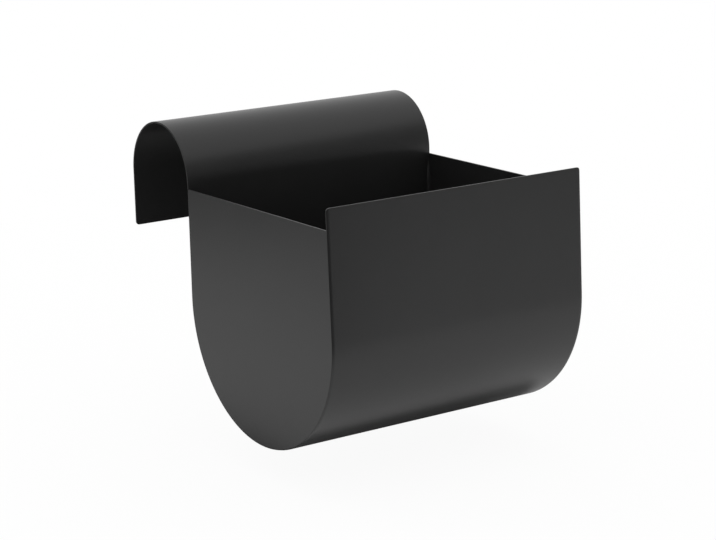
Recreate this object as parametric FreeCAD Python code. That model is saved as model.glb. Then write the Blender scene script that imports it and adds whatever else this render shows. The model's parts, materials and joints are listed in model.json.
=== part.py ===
import FreeCAD, Part
import math
import os

# A balcony planter of painted sheet steel that hangs on a handrail. One long sheet is rolled into a
# lip, a half-round saddle for the rail, a back wall, a half-round floor and a front wall. Two flat
# end panels stand between the walls, flush with the long sheet's cut edges, and are welded in from
# inside. A rubber bung closes the drain hole in the floor.
#
# Lengths are in millimetres and angles in degrees. The origin is on the saddle's axis at mid-width:
# +X runs along the rail, the trough hangs on the -Y side and +Z is up.

V = FreeCAD.Vector

# Sheet metal
WIDTH = 260.0  # along the rail, from cut edge to cut edge
SHEET = 1.5  # thickness of the long sheet
PANEL_SHEET = 1.5  # thickness of an end panel

# Saddle over the rail
SADDLE_RADIUS = 47.0  # inside radius, which takes a rail up to this size
LIP_DROP = 52.0  # straight lip behind the rail, measured down from the saddle's axis

# Trough
TROUGH_DEPTH = 220.0  # outside, from the back wall to the front wall where the floor's curve begins
FLOOR_DROP = 210.0  # lowest line of the floor below the saddle's axis
FRONT_RISE = 13.5  # top edge of the front wall above the saddle's axis
FRONT_LEAN = 1.9  # degrees that the front wall leans back over the trough
PANEL_DROP = 4.5  # top edges of the end panels below the saddle's axis

# Edges and welds
CORNER_RADIUS = 3.0  # free corners of the lip and the front wall
EDGE_DRESSING = 0.9  # rounding of the outer edge, where the weld is ground flush
DRESSING_SHARE = 0.7  # most of the sheet's thickness that the rounding may take
WELD_LEG = 2.5  # legs of the fillet weld in each inside corner
WELD_CROWN = 0.3  # bulge of the weld's face
WELD_STOP = 3.0  # the weld ends this far below the end panel's top edge

# Drain hole and bung
DRAIN_RADIUS = 7.0
BUNG_CLEARANCE = 0.05  # round the stem where it enters the hole
BUNG_SEAT_GAP = 0.25  # between the flange and the floor
BUNG_LAP = 5.0  # flange beyond the hole's edge
BUNG_FLANGE = 2.2  # thickness of the flange at its thinnest
BUNG_FLANGE_EDGE = 0.8  # rounding of the flange's lower edge
BUNG_REACH = 8.0  # stem above the floor's inner face
BUNG_TAPER = 1.0  # the stem's loss of radius from hole to tip
BUNG_TIP_CHAMFER = 0.8
BUNG_WALL = 2.4  # rubber round the hollow that opens downwards
BUNG_ROOF = 2.5  # rubber above the hollow

# The trough's cross-section, worked out from the sizes above
HALF_WIDTH = WIDTH / 2
FLOOR_RADIUS = TROUGH_DEPTH / 2
FLOOR_AXIS = V(0, -SADDLE_RADIUS - FLOOR_RADIUS, FLOOR_RADIUS - FLOOR_DROP)
LEAN = math.radians(FRONT_LEAN)
UP_FRONT = V(0, math.sin(LEAN), math.cos(LEAN))
INTO_TROUGH = V(0, math.cos(LEAN), -math.sin(LEAN))
X_AXIS = V(1, 0, 0)
Z_AXIS = V(0, 0, 1)
LEFT = -1
RIGHT = 1


def front_foot(inset):
    """Point where the floor's curve runs into the front wall, this far inside the outer face."""
    return FLOOR_AXIS - INTO_TROUGH * (FLOOR_RADIUS - inset)


def front_point(inset, level):
    """Point on the front wall's line at a height, this far inside the outer face."""
    foot = front_foot(inset)
    return foot + UP_FRONT * ((level - foot.z) / UP_FRONT.z)


def back_foot(inset):
    """Point where the floor's curve runs into the back wall."""
    return FLOOR_AXIS + V(0, FLOOR_RADIUS - inset, 0)


def trough_line(inset, front_level, back_level):
    """Front wall, floor and back wall as one tangent line, this far inside the outer face."""
    lowest = FLOOR_AXIS - Z_AXIS * (FLOOR_RADIUS - inset)
    back_top = V(0, back_foot(inset).y, back_level)
    return [
        Part.LineSegment(front_point(inset, front_level), front_foot(inset)).toShape(),
        Part.Arc(front_foot(inset), lowest, back_foot(inset)).toShape(),
        Part.LineSegment(back_foot(inset), back_top).toShape(),
    ]


def saddle_line(radius):
    """Half circle over the rail and the straight lip behind it."""
    rear = V(0, radius, 0)
    return [
        Part.Arc(V(0, -radius, 0), Z_AXIS * radius, rear).toShape(),
        Part.LineSegment(rear, rear - Z_AXIS * LIP_DROP).toShape(),
    ]


def plate(outline, start, thickness):
    """Closed outline in the YZ plane, moved to X = start and thickened along X."""
    face = Part.Face(Part.Wire(Part.__sortEdges__(outline)))
    face.translate(X_AXIS * start)
    return face.extrude(X_AXIS * thickness)


def nearest_edges(shape, points):
    """For each point, the edge of the shape that passes closest to it."""
    return [
        min(shape.Edges, key=lambda edge: edge.distToShape(Part.Vertex(point))[0])
        for point in points
    ]


def at_both_ends(point):
    """The same point of the cross-section on the left and the right cut edge."""
    return [point + X_AXIS * (side * HALF_WIDTH) for side in (LEFT, RIGHT)]


def drain_point(level):
    """Point on the drain's axis at a height."""
    return V(0, FLOOR_AXIS.y, level)


def body_sheet():
    """The long sheet: its section swept over the width, corners rounded, outer edge dressed, drain cut."""
    front_cut = Part.LineSegment(
        front_point(0, FRONT_RISE),
        front_point(SHEET, FRONT_RISE + INTO_TROUGH.z * SHEET),
    ).toShape()
    lip_cut = Part.LineSegment(
        V(0, SADDLE_RADIUS, -LIP_DROP),
        V(0, SADDLE_RADIUS + SHEET, -LIP_DROP),
    ).toShape()
    lower_side = trough_line(0, FRONT_RISE, 0) + saddle_line(SADDLE_RADIUS)
    upper_side = trough_line(SHEET, FRONT_RISE + INTO_TROUGH.z * SHEET, 0)
    upper_side += saddle_line(SADDLE_RADIUS + SHEET)
    sheet = plate(lower_side + upper_side + [front_cut, lip_cut], -HALF_WIDTH, WIDTH)

    corners = at_both_ends(front_cut.CenterOfMass) + at_both_ends(lip_cut.CenterOfMass)
    sheet = sheet.makeFillet(CORNER_RADIUS, nearest_edges(sheet, corners))
    floor_edges = nearest_edges(sheet, at_both_ends(drain_point(-FLOOR_DROP)))
    sheet = sheet.makeFillet(min(EDGE_DRESSING, DRESSING_SHARE * SHEET), floor_edges)

    drill = Part.makeCylinder(DRAIN_RADIUS, 2 * SHEET + DRAIN_RADIUS, drain_point(-FLOOR_DROP - SHEET))
    return sheet.cut(drill)


def end_panel(side):
    """Flat panel that fills the trough's inner outline up to its level top edge."""
    outline = trough_line(SHEET, -PANEL_DROP, -PANEL_DROP)
    top_edge = Part.LineSegment(outline[0].Vertexes[0].Point, outline[-1].Vertexes[-1].Point)
    return plate(outline + [top_edge.toShape()], side * HALF_WIDTH, -side * PANEL_SHEET)


def weld_seam(side):
    """Fillet weld in the corner of end panel and sheet: down the front, round the floor, up the back."""
    stop_level = -PANEL_DROP - WELD_STOP
    along_sheet = X_AXIS * -side
    into_corner = X_AXIS * (side * (HALF_WIDTH - PANEL_SHEET))

    root = front_foot(SHEET) + into_corner
    panel_toe = root + INTO_TROUGH * WELD_LEG
    sheet_toe = root + along_sheet * WELD_LEG
    outward = (INTO_TROUGH + along_sheet).normalize()
    crown = (panel_toe + sheet_toe) / 2 + outward * WELD_CROWN
    section = Part.Face(
        Part.Wire(
            [
                Part.LineSegment(root, panel_toe).toShape(),
                Part.Arc(panel_toe, crown, sheet_toe).toShape(),
                Part.LineSegment(sheet_toe, root).toShape(),
            ]
        )
    )
    front_run = section.extrude(front_point(SHEET, stop_level) - front_foot(SHEET))
    floor_run = section.revolve(FLOOR_AXIS, X_AXIS, 180 + FRONT_LEAN)
    back_section = section.copy()
    back_section.rotate(FLOOR_AXIS, X_AXIS, 180 + FRONT_LEAN)
    back_run = back_section.extrude(Z_AXIS * (stop_level - FLOOR_AXIS.z))
    return front_run.fuse([floor_run, back_run]).removeSplitter()


def drain_plug():
    """Rubber bung pushed up into the drain: flange curved to the floor, tapered stem, hollow below."""
    foot_radius = DRAIN_RADIUS - BUNG_CLEARANCE
    tip_radius = foot_radius - BUNG_TAPER
    seat_level = -FLOOR_DROP - BUNG_SEAT_GAP
    base_level = seat_level - BUNG_FLANGE
    tip_level = SHEET + BUNG_REACH - FLOOR_DROP

    flange_radius = DRAIN_RADIUS + BUNG_LAP
    flange = Part.makeCylinder(flange_radius, BUNG_FLANGE + flange_radius, drain_point(base_level))
    rim = drain_point(base_level) - X_AXIS * flange_radius
    flange = flange.makeFillet(BUNG_FLANGE_EDGE, nearest_edges(flange, [rim]))
    seat = Part.makeCylinder(
        FLOOR_RADIUS + BUNG_SEAT_GAP, WIDTH, FLOOR_AXIS - X_AXIS * HALF_WIDTH, X_AXIS
    )
    flange = flange.cut(seat)

    stem_line = [
        drain_point(base_level),
        drain_point(base_level) + X_AXIS * foot_radius,
        drain_point(seat_level) + X_AXIS * foot_radius,
        drain_point(tip_level - BUNG_TIP_CHAMFER) + X_AXIS * tip_radius,
        drain_point(tip_level) + X_AXIS * (tip_radius - BUNG_TIP_CHAMFER),
        drain_point(tip_level),
    ]
    stem = Part.Face(Part.makePolygon(stem_line + stem_line[:1])).revolve(drain_point(0), Z_AXIS, 360)

    hollow_height = tip_level - BUNG_ROOF - base_level
    hollow = Part.makeCylinder(tip_radius - BUNG_WALL, hollow_height, drain_point(base_level))
    return flange.fuse(stem).cut(hollow).removeSplitter()


def main():
    pieces = {
        "body_sheet": body_sheet(),
        "left_end_panel": end_panel(LEFT),
        "right_end_panel": end_panel(RIGHT),
        "left_weld_seam": weld_seam(LEFT),
        "right_weld_seam": weld_seam(RIGHT),
        "drain_plug": drain_plug(),
    }
    os.makedirs("parts", exist_ok=True)
    for name, shape in pieces.items():
        shape.exportStep(os.path.join("parts", name + ".step"))


main()
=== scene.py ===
import json
import math

import bmesh
import bpy
from mathutils import Matrix, Vector


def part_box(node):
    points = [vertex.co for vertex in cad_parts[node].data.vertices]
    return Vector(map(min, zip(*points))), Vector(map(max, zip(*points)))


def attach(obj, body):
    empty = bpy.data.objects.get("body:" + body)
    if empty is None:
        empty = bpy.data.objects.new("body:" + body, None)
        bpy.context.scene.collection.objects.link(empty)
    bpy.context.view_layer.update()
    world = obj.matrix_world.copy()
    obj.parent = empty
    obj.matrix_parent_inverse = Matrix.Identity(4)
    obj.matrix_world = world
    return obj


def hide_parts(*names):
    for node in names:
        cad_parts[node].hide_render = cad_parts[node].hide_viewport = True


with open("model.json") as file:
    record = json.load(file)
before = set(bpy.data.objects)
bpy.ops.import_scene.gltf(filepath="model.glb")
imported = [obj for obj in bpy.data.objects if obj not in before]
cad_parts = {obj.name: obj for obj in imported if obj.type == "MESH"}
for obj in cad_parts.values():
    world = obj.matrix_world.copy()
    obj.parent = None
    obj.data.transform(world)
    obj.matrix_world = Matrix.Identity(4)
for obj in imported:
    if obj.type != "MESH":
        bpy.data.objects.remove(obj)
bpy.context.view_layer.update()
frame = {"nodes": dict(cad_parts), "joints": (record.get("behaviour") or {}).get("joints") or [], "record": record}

bl_info = {
    "name": "Balcony planter",
    "version": (1, 0, 0),
    "blender": (4, 5, 0),
    "location": "3D View > Sidebar > Planter",
    "description": "Dresses the balcony planter: rolled sheet, end panels, welds, drain plug and studio",
    "category": "Object",
}

MM = 0.001

# Points closer than this are one point
MERGE = 1e-7

# Sizes read from the frame, in metres


def mount(name):
    """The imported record's mount of that name."""
    return next(m for m in frame["record"]["mounts"] if m["name"] == name)


def tenth_mm(value):
    """A length read from facets, rounded to a tenth of a millimetre."""
    return round(value, 4)


SHEET_LOW, SHEET_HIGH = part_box("body_sheet")
PANEL_LOW, PANEL_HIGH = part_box("left_end_panel")
PLUG_LOW, PLUG_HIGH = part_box("drain_plug")
SHEET_POINTS = [v.co for v in frame["nodes"]["body_sheet"].data.vertices]

WIDTH = tenth_mm(SHEET_HIGH.x - SHEET_LOW.x)
SADDLE_RADIUS = mount("rail_saddle")["dims"]["r_mm"] * MM
SHEET = tenth_mm(SHEET_HIGH.z - SADDLE_RADIUS)
FLOOR_RADIUS = tenth_mm((-SADDLE_RADIUS - SHEET_LOW.y) / 2)
FLOOR_DROP = tenth_mm(-SHEET_LOW.z)
FLOOR_Y = -SADDLE_RADIUS - FLOOR_RADIUS
FLOOR_Z = FLOOR_RADIUS - FLOOR_DROP
LIP_DROP = tenth_mm(-min(p.z for p in SHEET_POINTS if p.y > 0))
FRONT_RISE = tenth_mm(max(p.z for p in SHEET_POINTS if p.y < FLOOR_Y))
PANEL_SHEET = tenth_mm(PANEL_HIGH.x - PANEL_LOW.x)
PANEL_TOP = tenth_mm(PANEL_HIGH.z)
PLUG_TRAVEL = frame["joints"][0]["range_m"][1]


# Colours


def linear(hex_colour):
    """Turns an sRGB hex colour into the linear values that shaders take."""
    channels = [int(hex_colour[i : i + 2], 16) / 255 for i in (1, 3, 5)]
    return [c / 12.92 if c <= 0.04045 else ((c + 0.055) / 1.055) ** 2.4 for c in channels]


# What a user would change


def length(name, description, default):
    """A size in metres for a property group."""
    return bpy.props.FloatProperty(
        name=name, description=description, default=default, min=0.0, unit="LENGTH", precision=5
    )


def colour(name, description, hex_colour):
    """A colour for a property group, given as sRGB hex."""
    return bpy.props.FloatVectorProperty(
        name=name, description=description, default=linear(hex_colour), subtype="COLOR", min=0.0, max=1.0
    )


class PlanterSizes(bpy.types.PropertyGroup):
    front_lean: bpy.props.FloatProperty(
        name="Front lean",
        description="How far the front wall leans back over the trough",
        default=math.radians(1.9),
        subtype="ANGLE",
    )
    corner: length("Free corners", "Radius of the lip's and front wall's corners, seen flat", 3.0 * MM)
    ground_width: length("Ground edge width", "How far grinding reaches in from the sheet's edge", 2.6 * MM)
    ground_depth: length("Ground edge depth", "How much grinding takes off at the sheet's edge", 0.6 * MM)
    free_edge: length("Free edges", "Rounding left by deburring and the coat", 0.2 * MM)
    drain_radius: length("Drain", "Radius of the hole in the floor", 7.0 * MM)
    weld_leg: length("Weld leg", "Leg of the fillet weld inside each end", 2.5 * MM)
    weld_crown: length("Weld crown", "Bulge of the weld's face", 0.3 * MM)
    weld_stop: length("Weld stop", "The weld ends this far below the panel's top edge", 3.0 * MM)
    weld_fade: length("Weld fade", "Length over which the weld thins out at each end", 20.0 * MM)
    ripple_pitch: length("Ripple pitch", "Spacing of the ripples that the torch leaves", 1.9 * MM)
    ripple_height: length("Ripple height", "Height of the weld's ripples", 0.16 * MM)
    plug_clearance: length("Plug clearance", "Gap round the plug's stem in the drain", 0.05 * MM)
    plug_seat_gap: length("Plug seat gap", "Gap between the plug's flange and the floor", 0.25 * MM)
    plug_rim: length("Plug rim", "Rounding of the flange's lower edge", 0.8 * MM)
    plug_taper: length("Plug taper", "Loss of radius from the drain to the tip", 1.0 * MM)
    plug_wall: length("Plug wall", "Rubber round the hollow", 2.4 * MM)
    plug_roof: length("Plug roof", "Rubber above the hollow", 2.5 * MM)


class PlanterFinish(bpy.types.PropertyGroup):
    coat: colour("Coat", "Satin black powder coat", "#1b1b1b")
    coat_thin: colour("Thin coat", "The same coat where it lies a little thinner", "#202020")
    rubber: colour("Rubber", "Moulded black rubber", "#191919")
    coat_roughness: bpy.props.FloatProperty(
        name="Coat roughness",
        description="Roughness of the satin coat",
        default=0.35,
        min=0.0,
        max=1.0,
        subtype="FACTOR",
    )
    peel: length("Orange peel", "Width of the coat's orange-peel dimples", 2.2 * MM)
    grain: length("Coat grain", "Width of the coat's fine grain", 0.4 * MM)


class PlanterStudio(bpy.types.PropertyGroup):
    camera_place: bpy.props.FloatVectorProperty(
        name="Camera",
        description="Where the camera stands",
        default=(-1.0561, -1.6566, 0.3698),
        subtype="TRANSLATION",
        unit="LENGTH",
    )
    camera_turn: bpy.props.FloatVectorProperty(
        name="Camera turn",
        description="Heading to the right of +Y, dip below the horizon and roll",
        default=(math.radians(34.43), math.radians(13.65), math.radians(-1.297)),
        subtype="EULER",
    )
    lens: bpy.props.FloatProperty(
        name="Lens",
        description="Focal length in millimetres, on a sensor 36 mm wide",
        default=109.59,
        unit="CAMERA",
    )
    floor: colour("Floor", "Plain pale floor", "#fcfcfc")


# Nodes and meshes


def add_node(tree, kind, inputs=None, **settings):
    """Adds a node with its settings. Inputs are values, sockets or nodes, which give their first output."""
    node = tree.nodes.new(kind)
    for name, value in settings.items():
        setattr(node, name, value)
    for key, value in (inputs or {}).items():
        if isinstance(value, bpy.types.Node):
            value = value.outputs[0]
        if isinstance(value, bpy.types.NodeSocket):
            tree.links.new(value, node.inputs[key])
        else:
            node.inputs[key].default_value = value
    return node


def spread(start, stop, step, slack=1e-9):
    """Even steps from start up to stop, which is left out, none longer than step but for rounding."""
    count = max(1, math.ceil((stop - start) / step - slack))
    return [start + (stop - start) * i / count for i in range(count)]


def rounding(width, depth, distance):
    """How far an edge rounded to a quarter ellipse falls away at a distance from the edge."""
    if distance >= width:
        return 0.0
    return depth * (1 - math.sqrt(1 - ((width - distance) / width) ** 2))


def ground_off(width, depth, distance):
    """How far an edge ground to a shallow bow falls away at a distance from the edge."""
    return depth * max(0.0, 1 - distance / width) ** 2


def edge_lines(widths, steps=4, apart=0.01 * MM):
    """Distances from an edge at which a mesh needs lines to show roundings of these widths."""
    quarter = [math.pi / 2 * k / steps for k in range(steps + 1)]
    lines = sorted(width * (1 - math.cos(angle)) for width in widths for angle in quarter)
    return lines[:1] + [line for last, line in zip(lines, lines[1:]) if line - last > apart]


def make_sound(mesh):
    """Merges a bmesh's doubled points and turns its faces outwards."""
    bmesh.ops.remove_doubles(mesh, verts=mesh.verts, dist=MERGE)
    bmesh.ops.recalc_face_normals(mesh, faces=mesh.faces)


def closed_shell(lower, upper, is_open=None):
    """Bmesh between two grids of points, walled along every border. Cells that are open are left out."""
    rows, columns = len(lower), len(lower[0])
    mesh = bmesh.new()
    low = [[mesh.verts.new(p) for p in row] for row in lower]
    high = [[mesh.verts.new(p) for p in row] for row in upper]
    twin = {v: w for a, b in zip(low, high) for v, w in zip(a, b)}
    for i in range(rows - 1):
        for j in range(columns - 1):
            if is_open and is_open(i, j):
                continue
            corners = [(i, j), (i, j + 1), (i + 1, j + 1), (i + 1, j)]
            mesh.faces.new([low[a][b] for a, b in corners])
            mesh.faces.new([high[a][b] for a, b in reversed(corners)])
    for edge in [e for e in mesh.edges if e.is_boundary and e.verts[0] in twin]:
        start, end = edge.verts
        mesh.faces.new([start, end, twin[end], twin[start]])
    loose = [v for v in mesh.verts if not v.link_faces]
    bmesh.ops.delete(mesh, geom=loose, context="VERTS")
    make_sound(mesh)
    return mesh


def new_piece(name, mesh, material, sharp=math.radians(35)):
    """Object at the origin from a bmesh, smooth but for edges sharper than an angle."""
    data = bpy.data.meshes.new(name)
    mesh.to_mesh(data)
    mesh.free()
    data.materials.append(material)
    data.shade_smooth()
    data.set_sharp_from_angle(angle=sharp)
    piece = bpy.data.objects.new(name, data)
    bpy.context.scene.collection.objects.link(piece)
    return piece


def run_nodes(piece, tree, values):
    """Runs a geometry tree on a piece with inputs given by name, and keeps the result as a plain mesh."""
    modifier = piece.modifiers.new(tree.name, "NODES")
    modifier.node_group = tree
    sockets = {s.name: s.identifier for s in tree.interface.items_tree if s.in_out == "INPUT"}
    for name, value in values.items():
        modifier[sockets[name]] = value
    graph = bpy.context.evaluated_depsgraph_get()
    data = bpy.data.meshes.new_from_object(piece.evaluated_get(graph))
    piece.modifiers.remove(modifier)
    piece.data = data
    data.name = piece.name


def close_up(piece, sharp=math.radians(50)):
    """Merges a piece's doubled points, turns its faces outwards and smooths all but its sharp edges."""
    mesh = bmesh.new()
    mesh.from_mesh(piece.data)
    make_sound(mesh)
    mesh.to_mesh(piece.data)
    mesh.free()
    piece.data.shade_smooth()
    piece.data.set_sharp_from_angle(angle=sharp)


def settle(piece, body, slot, *nodes):
    """Ties a finished piece to its body and hides the CAD nodes that it stands for; the slot is not used."""
    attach(piece, body)
    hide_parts(*nodes)


# The section that the sheet is rolled to


class Section:
    """Lengths along the middle of the sheet, from the front wall's top edge to the lip's lower edge."""

    def __init__(self, sizes):
        self.lean = sizes.front_lean
        self.half = SHEET / 2
        self.floor_turn = math.pi + self.lean
        foot_z = FLOOR_Z + FLOOR_RADIUS * math.sin(self.lean)
        self.front = (FRONT_RISE - foot_z) / math.cos(self.lean)
        self.floor_end = self.front + (FLOOR_RADIUS - self.half) * self.floor_turn
        self.back_end = self.floor_end - FLOOR_Z
        self.saddle_end = self.back_end + (SADDLE_RADIUS + self.half) * math.pi
        self.lip_end = self.saddle_end + LIP_DROP
        lowest_turn = math.pi / 2 + self.lean
        self.drain = self.front + (FLOOR_RADIUS - self.half) * lowest_turn
        self.front_panel_top = (FRONT_RISE - PANEL_TOP) / math.cos(self.lean)
        self.back_panel_top = self.back_end + PANEL_TOP

    def front_wall(self, inset, level):
        """Point of the front wall at a height, this far inside its outer face."""
        foot = self.floor_point(inset, 0.0)
        rise = (level - foot.z) / math.cos(self.lean)
        return foot + Vector((0, math.sin(self.lean), math.cos(self.lean))) * rise

    def floor_point(self, inset, turn):
        """Point of the floor's curve, turned this far from the foot of the front wall."""
        angle = math.pi - self.lean + turn
        radius = FLOOR_RADIUS - inset
        return Vector((0, FLOOR_Y + radius * math.cos(angle), FLOOR_Z + radius * math.sin(angle)))

    def points(self, arc_step=math.radians(0.5)):
        """The whole line at the middle of the sheet."""
        line = [self.front_wall(self.half, FRONT_RISE - self.half * math.sin(self.lean))]
        line += [self.floor_point(self.half, t) for t in spread(0, self.floor_turn, arc_step)]
        line += [self.floor_point(self.half, self.floor_turn)]
        radius = SADDLE_RADIUS + self.half
        for turn in spread(0, math.pi, arc_step) + [math.pi]:
            line.append(Vector((0, -radius * math.cos(turn), radius * math.sin(turn))))
        line.append(Vector((0, radius, -LIP_DROP)))
        return line

    def curve(self):
        """The line as a curve object, for the rolling tree to follow."""
        line = self.points()
        data = bpy.data.curves.new("section_line", "CURVE")
        data.dimensions = "3D"
        spline = data.splines.new("POLY")
        spline.points.add(len(line) - 1)
        for point, place in zip(spline.points, line):
            point.co = (*place, 1.0)
        curve = bpy.data.objects.new("section_line", data)
        bpy.context.scene.collection.objects.link(curve)
        return curve


# Geometry trees


def new_tree(name, inputs, output):
    """Empty geometry tree with inputs given by name and kind of socket, and one output of geometry."""
    tree = bpy.data.node_groups.new(name, "GeometryNodeTree")
    for label, kind in inputs.items():
        tree.interface.new_socket(label, in_out="INPUT", socket_type=kind)
    tree.interface.new_socket(output, in_out="OUTPUT", socket_type="NodeSocketGeometry")
    return tree


def rolling_tree():
    """Geometry tree that rolls flat work to the section: Y is the length along it, Z the height over it."""
    name = "Roll to section"
    if name in bpy.data.node_groups:
        return bpy.data.node_groups[name]
    inputs = {
        "Flat work": "NodeSocketGeometry",
        "Section": "NodeSocketObject",
        "Finish": "NodeSocketMaterial",
    }
    tree = new_tree(name, inputs, "Rolled work")
    given = add_node(tree, "NodeGroupInput").outputs
    section = add_node(tree, "GeometryNodeObjectInfo", {"Object": given["Section"]}).outputs
    place = add_node(tree, "GeometryNodeInputPosition")
    flat = add_node(tree, "ShaderNodeSeparateXYZ", {0: place}).outputs
    along = add_node(
        tree,
        "GeometryNodeSampleCurve",
        {"Curves": section["Geometry"], "Length": flat["Y"]},
        mode="LENGTH",
        use_all_curves=True,
    ).outputs
    across = add_node(tree, "ShaderNodeCombineXYZ", {"X": flat["X"]})
    up = add_node(
        tree,
        "ShaderNodeVectorMath",
        {0: (1.0, 0.0, 0.0), 1: along["Tangent"]},
        operation="CROSS_PRODUCT",
    )
    height = add_node(tree, "ShaderNodeVectorMath", {0: up, "Scale": flat["Z"]}, operation="SCALE")
    on_line = add_node(tree, "ShaderNodeVectorMath", {0: along["Position"], 1: across})
    rolled = add_node(tree, "ShaderNodeVectorMath", {0: on_line, 1: height})
    bent = add_node(
        tree, "GeometryNodeSetPosition", {"Geometry": given["Flat work"], "Position": rolled}
    )
    real = add_node(tree, "GeometryNodeRealizeInstances", {"Geometry": bent})
    coated = add_node(
        tree, "GeometryNodeSetMaterial", {"Geometry": real, "Material": given["Finish"]}
    )
    add_node(tree, "NodeGroupOutput", {"Rolled work": coated})
    return tree


def weld_path(tree, given):
    """Nodes for a weld's path and its size along it: thinned out at both ends, a little uneven between."""
    steps_per_ripple = 7.0
    size_at_end = 0.1
    pool_length = 14 * MM
    least_size, most_size = 0.88, 1.08
    step = add_node(
        tree, "ShaderNodeMath", {0: given["Ripple pitch"], 1: steps_per_ripple}, operation="DIVIDE"
    )
    path = add_node(
        tree, "GeometryNodeCurvePrimitiveLine", {"Start": given["Start"], "End": given["End"]}
    )
    path = add_node(tree, "GeometryNodeResampleCurve", {"Curve": path, "Length": step}, mode="LENGTH")
    gone = add_node(tree, "GeometryNodeSplineParameter").outputs["Length"]
    whole = add_node(tree, "GeometryNodeSplineLength")
    left = add_node(tree, "ShaderNodeMath", {0: whole, 1: gone}, operation="SUBTRACT")
    from_end = add_node(tree, "ShaderNodeMath", {0: gone, 1: left}, operation="MINIMUM")
    taper = add_node(
        tree,
        "ShaderNodeMapRange",
        {"Value": from_end, "From Max": given["Fade"], "To Min": size_at_end},
        interpolation_type="SMOOTHSTEP",
    )
    pool_place = add_node(tree, "ShaderNodeMath", {0: gone, 1: given["Seed"]}, operation="ADD")
    pool = add_node(
        tree,
        "ShaderNodeTexNoise",
        {"W": pool_place, "Scale": 1 / pool_length, "Detail": 1.0},
        noise_dimensions="1D",
    )
    uneven = add_node(
        tree, "ShaderNodeMapRange", {"Value": pool, "To Min": least_size, "To Max": most_size}
    )
    size = add_node(tree, "ShaderNodeMath", {0: taper, 1: uneven}, operation="MULTIPLY")
    return path, size


def weld_ripples(tree, given):
    """Nodes for the lift of a weld's ripples: bowed across its face, uneven along it, none at its toes."""
    toe_share = 0.3
    wander_length = 9 * MM
    corner = add_node(tree, "ShaderNodeSeparateXYZ", {0: given["Start"]}).outputs
    place = add_node(tree, "GeometryNodeInputPosition")
    flat = add_node(tree, "ShaderNodeSeparateXYZ", {0: place}).outputs
    across = add_node(tree, "ShaderNodeMath", {0: flat["X"], 1: corner["X"]}, operation="SUBTRACT")
    across = add_node(tree, "ShaderNodeMath", {0: across}, operation="ABSOLUTE")
    height = add_node(tree, "ShaderNodeMath", {0: flat["Z"], 1: corner["Z"]}, operation="SUBTRACT")
    from_toe = add_node(tree, "ShaderNodeMath", {0: across, 1: height}, operation="MINIMUM")
    toe = add_node(tree, "ShaderNodeMath", {0: given["Leg"], 1: toe_share}, operation="MULTIPLY")
    on_face = add_node(tree, "ShaderNodeMapRange", {"Value": from_toe, "From Max": toe})
    off_middle = add_node(tree, "ShaderNodeMath", {0: across, 1: height}, operation="SUBTRACT")
    off_middle = add_node(
        tree, "ShaderNodeMath", {0: off_middle, 1: given["Leg"]}, operation="DIVIDE"
    )
    bow = add_node(tree, "ShaderNodeMath", {0: off_middle, 1: off_middle}, operation="MULTIPLY")
    wander_place = add_node(
        tree, "ShaderNodeMath", {0: flat["Y"], 1: given["Seed"]}, operation="ADD"
    )
    wander = add_node(
        tree,
        "ShaderNodeTexNoise",
        {"W": wander_place, "Scale": 1 / wander_length, "Detail": 1.0},
        noise_dimensions="1D",
    )
    phase = add_node(
        tree, "ShaderNodeMath", {0: flat["Y"], 1: given["Ripple pitch"]}, operation="DIVIDE"
    )
    phase = add_node(tree, "ShaderNodeMath", {0: phase, 1: bow}, operation="ADD")
    phase = add_node(tree, "ShaderNodeMath", {0: phase, 1: wander}, operation="ADD")
    swing = add_node(tree, "ShaderNodeMath", {0: phase, 1: math.pi}, operation="MULTIPLY")
    swing = add_node(tree, "ShaderNodeMath", {0: swing}, operation="SINE")
    swing = add_node(tree, "ShaderNodeMath", {0: swing}, operation="ABSOLUTE")
    ripple = add_node(
        tree, "ShaderNodeMath", {0: swing, 1: given["Ripple height"]}, operation="MULTIPLY"
    )
    ripple = add_node(tree, "ShaderNodeMath", {0: ripple, 1: on_face}, operation="MULTIPLY")
    return add_node(
        tree, "ShaderNodeVectorMath", {0: given["Outward"], "Scale": ripple}, operation="SCALE"
    )


def weld_tree():
    """Geometry tree that draws a weld's outline along the flat sheet, ripples its face and rolls it."""
    name = "Weld bead"
    if name in bpy.data.node_groups:
        return bpy.data.node_groups[name]
    inputs = {
        "Outline": "NodeSocketGeometry",
        "Section": "NodeSocketObject",
        "Finish": "NodeSocketMaterial",
    }
    for place in ("Start", "End", "Outward"):
        inputs[place] = "NodeSocketVector"
    for size in ("Leg", "Fade", "Ripple pitch", "Ripple height", "Seed"):
        inputs[size] = "NodeSocketFloat"
    tree = new_tree(name, inputs, "Weld")
    given = add_node(tree, "NodeGroupInput").outputs
    path, scale = weld_path(tree, given)
    outline = add_node(tree, "GeometryNodeMeshToCurve", {"Mesh": given["Outline"]})
    bead = add_node(
        tree,
        "GeometryNodeCurveToMesh",
        {"Curve": path, "Profile Curve": outline, "Scale": scale, "Fill Caps": True},
    )
    lift = weld_ripples(tree, given)
    rippled = add_node(tree, "GeometryNodeSetPosition", {"Geometry": bead, "Offset": lift})
    rolled = add_node(
        tree,
        "GeometryNodeGroup",
        {"Flat work": rippled, "Section": given["Section"], "Finish": given["Finish"]},
        node_tree=rolling_tree(),
    )
    add_node(tree, "NodeGroupOutput", {"Weld": rolled})
    return tree


# Finishes


def new_material(name):
    """Empty material and its node tree."""
    material = bpy.data.materials.new(name)
    material.use_nodes = True
    material.node_tree.nodes.clear()
    return material, material.node_tree


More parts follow.
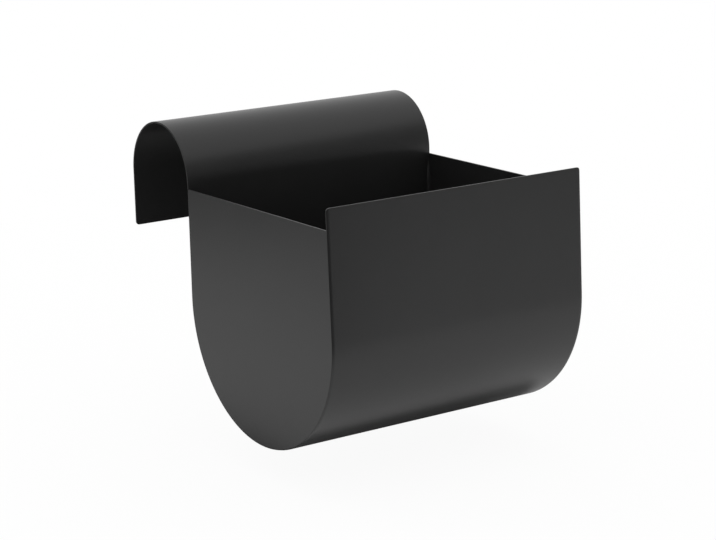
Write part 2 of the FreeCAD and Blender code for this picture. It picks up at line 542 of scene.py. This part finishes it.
def powder_coat(finish):
    """Satin black polyester powder coat, sprayed on steel and baked.

    It flows out as it bakes, so the eye sees a soft, even sheen with shallow orange-peel dimples, a
    faint grain and small changes of gloss, and bright lines only where an edge turns to the light. The
    grain is drawn coarser than the real one, which is too fine to show.
    """
    name = "Powder coat, satin black"
    if name in bpy.data.materials:
        return bpy.data.materials[name]
    cloud_width = 60 * MM
    gloss_change = 0.03
    relief = 0.6
    peel_depth, grain_depth = 0.05 * MM, 0.02 * MM

    # The colour sockets of a Mix node, which share their names with its other sockets
    first_colour, second_colour, mixed_colour = 6, 7, 2

    material, tree = new_material(name)
    place = add_node(tree, "ShaderNodeTexCoord").outputs["Object"]
    cloud = add_node(
        tree, "ShaderNodeTexNoise", {"Vector": place, "Scale": 1 / cloud_width, "Detail": 2.0}
    )
    peel = add_node(
        tree, "ShaderNodeTexNoise", {"Vector": place, "Scale": 1 / finish.peel, "Detail": 1.0}
    )
    grain = add_node(
        tree, "ShaderNodeTexNoise", {"Vector": place, "Scale": 1 / finish.grain, "Detail": 2.0}
    )
    tint = add_node(
        tree,
        "ShaderNodeMix",
        {0: cloud, first_colour: (*finish.coat, 1.0), second_colour: (*finish.coat_thin, 1.0)},
        data_type="RGBA",
    ).outputs[mixed_colour]
    gloss = add_node(
        tree,
        "ShaderNodeMapRange",
        {
            "Value": cloud,
            "To Min": finish.coat_roughness - gloss_change,
            "To Max": finish.coat_roughness + gloss_change,
        },
    )
    dimples = add_node(
        tree, "ShaderNodeBump", {"Height": peel, "Strength": relief, "Distance": peel_depth}
    )
    surface = add_node(
        tree,
        "ShaderNodeBump",
        {"Height": grain, "Strength": relief, "Distance": grain_depth, "Normal": dimples},
    )
    shader = add_node(
        tree,
        "ShaderNodeBsdfPrincipled",
        {"Base Color": tint, "Roughness": gloss, "IOR": 1.46, "Normal": surface},
    )
    add_node(tree, "ShaderNodeOutputMaterial", {"Surface": shader})
    return material


def welded_coat(finish):
    """The same powder coat over the fillet weld, a material of its own so that it can be changed alone.

    The coat bridges a torch's finest ripples, so what the eye sees is the coarse ones of the weld's mesh.
    """
    coat = powder_coat(finish).copy()
    coat.name = "Powder coat over weld"
    return coat


def moulded_rubber(finish):
    """Black rubber pressed in a spark-eroded mould: matt, with a fine even grain and a dusty bloom.

    The grain is drawn coarser than the real one, which is too fine to show.
    """
    grain_width, bloom_width = 0.5 * MM, 9 * MM
    bare_roughness, bloom_roughness = 0.6, 0.8
    relief = 0.3
    grain_depth = 0.05 * MM
    material, tree = new_material("Moulded rubber, black")
    place = add_node(tree, "ShaderNodeTexCoord").outputs["Object"]
    grain = add_node(
        tree, "ShaderNodeTexNoise", {"Vector": place, "Scale": 1 / grain_width, "Detail": 3.0}
    )
    bloom = add_node(
        tree, "ShaderNodeTexNoise", {"Vector": place, "Scale": 1 / bloom_width, "Detail": 2.0}
    )
    gloss = add_node(
        tree,
        "ShaderNodeMapRange",
        {"Value": bloom, "To Min": bare_roughness, "To Max": bloom_roughness},
    )
    surface = add_node(
        tree, "ShaderNodeBump", {"Height": grain, "Strength": relief, "Distance": grain_depth}
    )
    shader = add_node(
        tree,
        "ShaderNodeBsdfPrincipled",
        {"Base Color": (*finish.rubber, 1.0), "Roughness": gloss, "IOR": 1.52, "Normal": surface},
    )
    add_node(tree, "ShaderNodeOutputMaterial", {"Surface": shader})
    return material


# Pieces


class PLANTER_OT_rolled_sheet(bpy.types.Operator):
    """Cut the flat blank, round its edges and roll it into lip, saddle, back, floor and front"""

    bl_idname = "planter.rolled_sheet"
    bl_label = "Rolled sheet"

    # The grid's square patch round the drain: half sides of the square that becomes the hole, of the one
    # where even lines start again and of the whole patch, and the lines that show the hole's rounded edge
    patch_inner = 6.0 * MM
    patch_clear = 9.0 * MM
    patch_outer = 15.0 * MM
    hole_lines = (0.0, 0.1 * MM, 0.3 * MM, 1.0 * MM)

    # Stretches at the tops of the walls where the edges change, and the lengths over which they do
    front_top = 30.0 * MM
    back_top = 12.0 * MM
    inner_fade = 3.0 * MM
    ground_fade = 8.0 * MM

    # Spacing of the grid's lines
    finest_step = 1.5 * MM
    fine_step = 2.0 * MM
    floor_step = 3.0 * MM
    across_step = 9.0 * MM
    wall_step = 10.0 * MM

    def lines_across(self, sizes, edge):
        """Places across the width where the blank's grid has lines."""
        half = WIDTH / 2
        right = self.patch_lines() + spread(self.patch_outer, half - sizes.corner, self.across_step)
        right += [half - d for d in reversed(edge)]
        return [-x for x in reversed(right[1:])] + right

    def patch_lines(self):
        """Distances from the drain's middle at which the grid has lines, up to the patch's border."""
        inside = spread(0.0, self.patch_inner, self.finest_step)
        hole = [self.patch_inner + d for d in self.hole_lines]
        return inside + hole + spread(self.patch_clear, self.patch_outer, self.fine_step)

    def lines_along(self, sizes, section, edge):
        """Places along the developed length where the blank's grid has lines."""
        patch = self.patch_lines() + [self.patch_outer]
        around_drain = [section.drain - d for d in reversed(patch[1:])]
        around_drain += [section.drain + d for d in patch]
        back_top = section.back_end - self.back_top
        lines = list(edge)
        lines += spread(sizes.corner, self.front_top, self.fine_step)[1:]
        lines += spread(self.front_top, section.front, self.wall_step)
        lines += spread(section.front, around_drain[0], self.floor_step)
        lines += around_drain
        lines += spread(around_drain[-1], section.floor_end, self.floor_step)[1:]
        lines += spread(section.floor_end, back_top, self.wall_step)
        lines += spread(back_top, section.back_end, self.finest_step)
        lines += spread(section.back_end, section.saddle_end, self.fine_step)
        lines += spread(section.saddle_end, section.lip_end - sizes.corner, self.wall_step)
        return lines + [section.lip_end - d for d in reversed(edge)]

    def inner_edge(self, sizes, section, s):
        """Rounding of the inner edge: none where the end panel is welded to it."""
        below_front = (s - section.front_panel_top) / self.inner_fade
        below_back = (section.back_panel_top - s) / self.inner_fade
        return sizes.free_edge * (1 - max(0.0, min(1.0, below_front, below_back)))

    def ground_edge(self, sizes, section, s):
        """Depth of grinding on the outer edge: it ends on the back wall, just above the end panel."""
        above_back = (s - section.back_panel_top) / self.ground_fade
        return sizes.ground_depth * (1 - max(0.0, min(1.0, above_back)))

    def flat_place(self, sizes, section, x, s):
        """Rounds the blank's corners: gives the place, its distance from the edge and the sides' share."""
        side = math.copysign(1.0, x)
        end = -1.0 if s < section.lip_end / 2 else 1.0
        in_x = WIDTH / 2 - abs(x)
        in_s = s if end < 0 else section.lip_end - s
        if in_x < sizes.corner and in_s < sizes.corner:
            a, b = sizes.corner - in_x, sizes.corner - in_s
            reach = max(a, b)
            spoke = reach / math.hypot(a, b)
            x = side * (WIDTH / 2 - sizes.corner + a * spoke)
            edge_s = sizes.corner if end < 0 else section.lip_end - sizes.corner
            return x, edge_s + end * b * spoke, sizes.corner - reach, (a * spoke / reach) ** 2
        return x, s, min(in_x, in_s), float(in_x < sizes.corner)

    def round_drain(self, sizes, section, x, s):
        """Moves a line of the square patch onto the drain's circle and gives its distance from it."""
        across, along = x, s - section.drain
        reach = max(abs(across), abs(along))
        if reach >= self.patch_outer or reach < MERGE:
            return x, s, self.patch_outer
        if abs(across) >= abs(along):
            turn = math.pi / 4 * along / across
            heading = turn if across > 0 else turn + math.pi
        else:
            turn = math.pi / 4 * across / along
            heading = math.pi / 2 - turn if along > 0 else -math.pi / 2 - turn
        radius = reach - self.patch_inner + sizes.drain_radius
        mix = max(0.0, (reach - self.patch_inner) / (self.patch_outer - self.patch_inner)) ** 2
        x = across * mix + radius * math.cos(heading) * (1 - mix)
        s = section.drain + along * mix + radius * math.sin(heading) * (1 - mix)
        return x, s, max(0.0, reach - self.patch_inner)

    def execute(self, context):
        sizes, finish = context.scene.planter_sizes, context.scene.planter_finish
        section = Section(sizes)
        edge = edge_lines([sizes.corner, sizes.ground_width, sizes.free_edge])
        across = self.lines_across(sizes, edge)
        along = self.lines_along(sizes, section, edge)
        lower, upper = [], []
        for s in along:
            low_row, high_row = [], []
            for x in across:
                flat_x, flat_s, from_edge, is_side = self.flat_place(sizes, section, x, s)
                flat_x, flat_s, from_drain = self.round_drain(sizes, section, flat_x, flat_s)
                ground = is_side * self.ground_edge(sizes, section, flat_s)
                inner = self.inner_edge(sizes, section, flat_s)
                drain_edge = rounding(sizes.free_edge, sizes.free_edge, from_drain)
                low = drain_edge + rounding(sizes.free_edge, sizes.free_edge, from_edge)
                low += ground_off(sizes.ground_width, ground, from_edge)
                high = drain_edge + rounding(sizes.free_edge, inner, from_edge)
                low_row.append((flat_x, flat_s, low - section.half))
                high_row.append((flat_x, flat_s, section.half - high))
            lower.append(low_row)
            upper.append(high_row)

        def in_drain(i, j):
            middle_x = (across[j] + across[j + 1]) / 2
            middle_s = (along[i] + along[i + 1]) / 2 - section.drain
            return max(abs(middle_x), abs(middle_s)) < self.patch_inner

        coat = powder_coat(finish)
        blank = new_piece("rolled_sheet", closed_shell(lower, upper, in_drain), coat)
        line = section.curve()
        run_nodes(blank, rolling_tree(), {"Section": line, "Finish": coat})
        bpy.data.objects.remove(line)
        settle(blank, "planter", "powder_coated_steel", "body_sheet")
        return {"FINISHED"}


class PLANTER_OT_end_panels(bpy.types.Operator):
    """Set a flat panel into each end of the trough, flush with the rolled sheet's cut edges"""

    bl_idname = "planter.end_panels"
    bl_label = "End panels"

    # How far a panel's rim reaches into the sheet, and its outer face lies behind the sheet's cut edges
    tuck = 0.1 * MM
    recess = 0.02 * MM

    columns = 24
    wall_step = 8.0 * MM
    arc_step = math.radians(1.5)

    def rims(self, section, edge):
        """Matching points down the panel's front and back, from its top edge to its lowest point."""
        inset = SHEET - self.tuck
        foot = section.floor_point(inset, 0.0).z
        drops = edge + spread(edge[-1], PANEL_TOP - foot, self.wall_step)[1:]
        back_y = section.floor_point(inset, section.floor_turn).y
        front = [section.front_wall(inset, PANEL_TOP - d) for d in drops]
        back = [Vector((0, back_y, PANEL_TOP - d)) for d in drops]
        lowest = math.pi / 2 + section.lean
        for turn in spread(0.0, lowest, self.arc_step) + [lowest]:
            share = turn / lowest
            front.append(section.floor_point(inset, turn))
            back.append(section.floor_point(inset, section.floor_turn - share * math.pi / 2))
        return front, back, drops

    def execute(self, context):
        sizes, finish = context.scene.planter_sizes, context.scene.planter_finish
        section = Section(sizes)
        edge = edge_lines([sizes.free_edge]) + [2 * sizes.free_edge]
        front, back, drops = self.rims(section, edge)
        shares = [j / self.columns for j in range(self.columns + 1)]
        for name, side in (("left_panel", -1), ("right_panel", 1)):
            outside, inside = [], []
            for i, (start, end) in enumerate(zip(front, back)):
                drop = drops[i] if i < len(drops) else drops[-1]
                fall = rounding(sizes.free_edge, sizes.free_edge, drop)
                row = [start.lerp(end, share) for share in shares]
                outer_x = side * (WIDTH / 2 - self.recess - fall)
                inner_x = side * (WIDTH / 2 - PANEL_SHEET + fall)
                outside.append([(outer_x, p.y, p.z) for p in row])
                inside.append([(inner_x, p.y, p.z) for p in row])
            panel = new_piece(name, closed_shell(outside, inside), powder_coat(finish))
            node = name.replace("panel", "end_panel")
            settle(panel, "planter", "powder_coated_steel", node)
        return {"FINISHED"}


class PLANTER_OT_weld_seams(bpy.types.Operator):
    """Lay a fillet weld along the inside corner of each end panel and roll it with the sheet"""

    bl_idname = "planter.weld_seams"
    bl_label = "Weld seams"

    # How far the weld's root reaches into the sheet and the panel
    tuck = 0.1 * MM

    face_steps = 8
    seed = 3.0

    def bead_outline(self, sizes, side):
        """Closed outline of the weld: root tucked into the corner, two legs and a crowned face."""
        leg, crown = sizes.weld_leg, sizes.weld_crown
        outline = [(-self.tuck, leg), (-self.tuck, -self.tuck), (leg, -self.tuck)]
        for i in range(self.face_steps + 1):
            share = i / self.face_steps
            bulge = crown * 4 * share * (1 - share) / math.sqrt(2)
            outline.append((leg * (1 - share) + bulge, leg * share + bulge))
        mesh = bmesh.new()
        loop = [mesh.verts.new((-side * across, -height, 0.0)) for across, height in outline]
        for start, end in zip(loop, loop[1:] + loop[:1]):
            mesh.edges.new((start, end))
        return mesh

    def execute(self, context):
        sizes, finish = context.scene.planter_sizes, context.scene.planter_finish
        section = Section(sizes)
        coat = welded_coat(finish)
        line = section.curve()
        first = section.front_panel_top + sizes.weld_stop
        last = section.back_panel_top - sizes.weld_stop
        for name, side in (("left_weld", -1), ("right_weld", 1)):
            wall = side * (WIDTH / 2 - PANEL_SHEET)
            weld = new_piece(name, self.bead_outline(sizes, side), coat)
            values = {
                "Section": line,
                "Finish": coat,
                "Start": (wall, first, section.half),
                "End": (wall, last, section.half),
                "Outward": (-side * math.sqrt(0.5), 0.0, math.sqrt(0.5)),
                "Leg": sizes.weld_leg,
                "Fade": sizes.weld_fade,
                "Ripple pitch": sizes.ripple_pitch,
                "Ripple height": sizes.ripple_height,
                "Seed": self.seed + side,
            }
            run_nodes(weld, weld_tree(), values)
            close_up(weld)
            settle(weld, "planter", "powder_coated_weld", f"{name}_seam")
        bpy.data.objects.remove(line)
        return {"FINISHED"}


class PLANTER_OT_drain_plug(bpy.types.Operator):
    """Mould the rubber plug: flange curved to the floor, tapered stem, hollow underside"""

    bl_idname = "planter.drain_plug"
    bl_label = "Drain plug"

    mould_radius = 0.4 * MM
    corner_steps = 5
    turns = 72

    # Share of the stem's height at which it no longer follows the floor's curve
    knee = 0.3

    def corner(self, radius, height, turn_from, turn_to, bend, follow):
        """Rings round a quarter circle about a centre, as radius, height and share of the floor's curve."""
        rings = []
        for i in range(self.corner_steps + 1):
            angle = math.radians(turn_from + (turn_to - turn_from) * i / self.corner_steps)
            rings.append((radius + bend * math.cos(angle), height + bend * math.sin(angle), follow))
        return rings

    def rings(self, sizes):
        """Rings from the hollow's roof, out under the flange, over its rim and up to the tip."""
        base, tip = PLUG_LOW.z, PLUG_HIGH.z
        flange = (PLUG_HIGH.x - PLUG_LOW.x) / 2
        seat = -FLOOR_DROP - sizes.plug_seat_gap
        foot = sizes.drain_radius - sizes.plug_clearance
        end = foot - sizes.plug_taper
        hollow = end - sizes.plug_wall
        roof = tip - sizes.plug_roof
        soft, blunt = self.mould_radius, 2 * self.mould_radius
        rim = sizes.plug_rim
        rings = [(0.0, roof, 0.0), (hollow / 2, roof, 0.0)]
        rings += self.corner(hollow - soft, roof - soft, 90, 0, soft, 0.0)
        rings += self.corner(hollow + soft, base + soft, 180, 270, soft, 0.0)
        rings += self.corner(flange - rim, base + rim, -90, 0, rim, 0.0)
        rings += self.corner(flange - soft, seat - soft, 0, 90, soft, 1.0)
        rings += self.corner(foot + soft, seat + soft, 270, 180, soft, 1.0)
        rings += [(foot - sizes.plug_taper * self.knee, seat + (tip - seat) * self.knee, 0.0)]
        rings += self.corner(end - blunt, tip - blunt, 0, 90, blunt, 0.0)
        return rings + [(end / 2, tip, 0.0), (0.0, tip, 0.0)]

    def execute(self, context):
        sizes, finish = context.scene.planter_sizes, context.scene.planter_finish
        floor = FLOOR_RADIUS + sizes.plug_seat_gap
        mesh = bmesh.new()
        hoops = []
        for radius, height, follow in self.rings(sizes):
            hoop = []
            for i in range(self.turns):
                angle = 2 * math.pi * i / self.turns
                x, y = radius * math.cos(angle), radius * math.sin(angle)
                rise = floor - math.sqrt(floor * floor - y * y)
                hoop.append(mesh.verts.new((x, FLOOR_Y + y, height + follow * rise)))
            hoops.append(hoop)
        for inner, outer in zip(hoops, hoops[1:]):
            for i in range(self.turns):
                j = (i + 1) % self.turns
                mesh.faces.new([inner[i], inner[j], outer[j], outer[i]])
        make_sound(mesh)
        plug = new_piece("rubber_plug", mesh, moulded_rubber(finish))
        settle(plug, "drain_plug", "moulded_rubber", "drain_plug")
        return {"FINISHED"}


class PLANTER_OT_studio(bpy.types.Operator):
    """Lay the pale floor, set the soft light and place the camera"""

    bl_idname = "planter.studio"
    bl_label = "Studio"

    # Width of the camera's sensor in millimetres, as the lens is given
    sensor_width = 36.0

    # The floor's radius, where it starts to fade, and its gap below the plug when that is pulled out
    floor_reach = 1.6
    floor_fade = 0.9
    floor_gap = 2.0 * MM

    # Share of plain white in the floor, as the camera and as reflections see it
    white_to_camera = 0.93
    white_in_reflections = 0.45

    # Grey cards that only reflections see. Upright ones stand round the floor, with headings from +X and
    # steps in degrees. Flat ones lie a little above it. The rest is in metres.
    card_step = 5
    card_gap = 1.0 * MM
    upright_cards = {
        "card_camera": {"turn": (195, 278), "distance": 0.45, "level": (0.0, 0.5), "tone": "#303030"},
        "card_right": {"turn": (278, 350), "distance": 0.7, "level": (0.0, 0.22), "tone": "#dcdcdc"},
        "card_high": {"turn": (278, 350), "distance": 0.7, "level": (0.22, 0.75), "tone": "#989898"},
        "card_left": {"turn": (110, 195), "distance": 1.0, "level": (0.0, 0.35), "tone": "#606060"},
    }
    flat_cards = {
        # A painted shadow: this dark card stands in for the shade on the floor under the trough and shows only as
        # a dark band in the underside's reflection.
        "card_under": {
            "corners": ((-0.178, -0.204), (0.155, -0.219), (0.19, 0.12), (-0.195, 0.12)),
            "tone": "#8c8c8c",
        },
        "card_behind": {
            "corners": ((-0.5, 0.15), (0.3, 0.15), (0.3, 0.7), (-0.5, 0.7)),
            "tone": "#f0f0f0",
        },
    }

    def camera(self, studio):
        """Camera at the photograph's angle."""
        data = bpy.data.cameras.new("camera")
        data.sensor_width = self.sensor_width
        data.lens = studio.lens
        camera = bpy.data.objects.new("camera", data)
        heading, dip, roll = studio.camera_turn
        turn = Matrix.Rotation(-heading, 4, "Z")
        turn @= Matrix.Rotation(math.pi / 2 - dip, 4, "X")
        turn @= Matrix.Rotation(roll, 4, "Z")
        camera.matrix_world = Matrix.Translation(studio.camera_place) @ turn
        bpy.context.scene.collection.objects.link(camera)
        bpy.context.scene.camera = camera

    def floor_paint(self, studio):
        """Matt white paint that fades into the white surround, clear from below."""
        material, tree = new_material("Floor, matt white paint")
        place = add_node(tree, "ShaderNodeTexCoord").outputs["Object"]
        away = add_node(tree, "ShaderNodeVectorMath", {0: place}, operation="LENGTH")
        fade = add_node(
            tree,
            "ShaderNodeMapRange",
            {"Value": away.outputs["Value"], "From Min": self.floor_fade, "From Max": self.floor_reach},
            interpolation_type="SMOOTHSTEP",
        )
        below = add_node(tree, "ShaderNodeNewGeometry").outputs["Backfacing"]
        clear_share = add_node(tree, "ShaderNodeMath", {0: fade, 1: below}, operation="MAXIMUM")
        path = add_node(tree, "ShaderNodeLightPath").outputs
        mirrored = add_node(
            tree,
            "ShaderNodeMath",
            {0: path["Is Glossy Ray"], 1: path["Is Transmission Ray"]},
            operation="MAXIMUM",
        )
        mirrored = add_node(
            tree, "ShaderNodeMath", {0: mirrored, 1: self.white_in_reflections}, operation="MULTIPLY"
        )
        white_share = add_node(
            tree,
            "ShaderNodeMath",
            {0: path["Is Camera Ray"], 1: self.white_to_camera, 2: mirrored},
            operation="MULTIPLY_ADD",
        )
        paint = add_node(tree, "ShaderNodeBsdfDiffuse", {"Color": (*studio.floor, 1.0)})
        white = add_node(tree, "ShaderNodeEmission", {"Strength": 1.0})
        painted = add_node(tree, "ShaderNodeMixShader", {0: white_share, 1: paint, 2: white})
        clear = add_node(tree, "ShaderNodeBsdfTransparent")
        surface = add_node(tree, "ShaderNodeMixShader", {0: clear_share, 1: painted, 2: clear})
        add_node(tree, "ShaderNodeOutputMaterial", {"Surface": surface})
        return material

    def floor(self, studio):
        """Round floor, low enough for the drain plug to be pulled out above it."""
        mesh = bmesh.new()
        bmesh.ops.create_circle(mesh, cap_ends=True, radius=self.floor_reach, segments=96)
        floor = new_piece("floor", mesh, self.floor_paint(studio))
        floor.location = (0.0, FLOOR_Y, self.floor_level())

    def floor_level(self):
        """Height of the floor, just below the drain plug when it is pulled out."""
        return PLUG_LOW.z - PLUG_TRAVEL - self.floor_gap

    def flat_card(self, name, corners, tone):
        """Grey card just above the floor."""
        mesh = bmesh.new()
        level = self.floor_level() + self.card_gap
        mesh.faces.new([mesh.verts.new((x, y, level)) for x, y in corners])
        self.show_in_reflections(name, mesh, tone)

    def upright_card(self, name, turn, distance, level, tone):
        """Curved grey card round the floor."""
        mesh = bmesh.new()
        columns = []
        for angle in spread(*turn, self.card_step) + [turn[1]]:
            x = distance * math.cos(math.radians(angle))
            y = FLOOR_Y + distance * math.sin(math.radians(angle))
            columns.append([mesh.verts.new((x, y, self.floor_level() + z)) for z in level])
        for left, right in zip(columns, columns[1:]):
            mesh.faces.new([left[0], right[0], right[1], left[1]])
        self.show_in_reflections(name, mesh, tone)

    def show_in_reflections(self, name, mesh, tone):
        """Card of matt grey board that only reflections see."""
        material, tree = new_material(f"Card, matt grey {tone[1:]}")
        paint = add_node(tree, "ShaderNodeBsdfDiffuse", {"Color": (*linear(tone), 1.0)})
        add_node(tree, "ShaderNodeOutputMaterial", {"Surface": paint})
        card = new_piece(name, mesh, material)
        card.visible_camera = False
        card.visible_diffuse = False
        card.visible_shadow = False

    def surround(self, scene):
        """White surround at the level where a colour renders as it is written."""
        world = bpy.data.worlds.new("studio")
        scene.world = world
        world.use_nodes = True
        world.node_tree.nodes.clear()
        white = add_node(world.node_tree, "ShaderNodeBackground", {"Color": (1, 1, 1, 1), "Strength": 1.0})
        add_node(world.node_tree, "ShaderNodeOutputWorld", {"Surface": white})

    def execute(self, context):
        studio = context.scene.planter_studio
        self.camera(studio)
        self.floor(studio)
        for name, card in self.upright_cards.items():
            self.upright_card(name, **card)
        for name, card in self.flat_cards.items():
            self.flat_card(name, **card)
        self.surround(context.scene)
        context.scene.view_settings.view_transform = "Standard"
        return {"FINISHED"}


class PLANTER_PT_sidebar(bpy.types.Panel):
    bl_idname = "PLANTER_PT_sidebar"
    bl_label = "Planter"
    bl_space_type = "VIEW_3D"
    bl_region_type = "UI"
    bl_category = "Planter"

    def draw(self, context):
        for operator in OPERATORS:
            self.layout.operator(operator.bl_idname)
        for name, group in GROUPS.items():
            box = self.layout.box()
            for key in group.__annotations__:
                box.prop(getattr(context.scene, name), key)


OPERATORS = (
    PLANTER_OT_rolled_sheet,
    PLANTER_OT_end_panels,
    PLANTER_OT_weld_seams,
    PLANTER_OT_drain_plug,
    PLANTER_OT_studio,
)
GROUPS = {
    "planter_sizes": PlanterSizes,
    "planter_finish": PlanterFinish,
    "planter_studio": PlanterStudio,
}


def register():
    for name, group in GROUPS.items():
        bpy.utils.register_class(group)
        setattr(bpy.types.Scene, name, bpy.props.PointerProperty(type=group))
    for item in (*OPERATORS, PLANTER_PT_sidebar):
        bpy.utils.register_class(item)


def unregister():
    for item in reversed((*OPERATORS, PLANTER_PT_sidebar)):
        bpy.utils.unregister_class(item)
    for name, group in reversed(GROUPS.items()):
        delattr(bpy.types.Scene, name)
        bpy.utils.unregister_class(group)


def main():
    register()
    for operator in OPERATORS:
        family, name = operator.bl_idname.split(".")
        getattr(getattr(bpy.ops, family), name)()


if __name__ == "__main__":
    main()
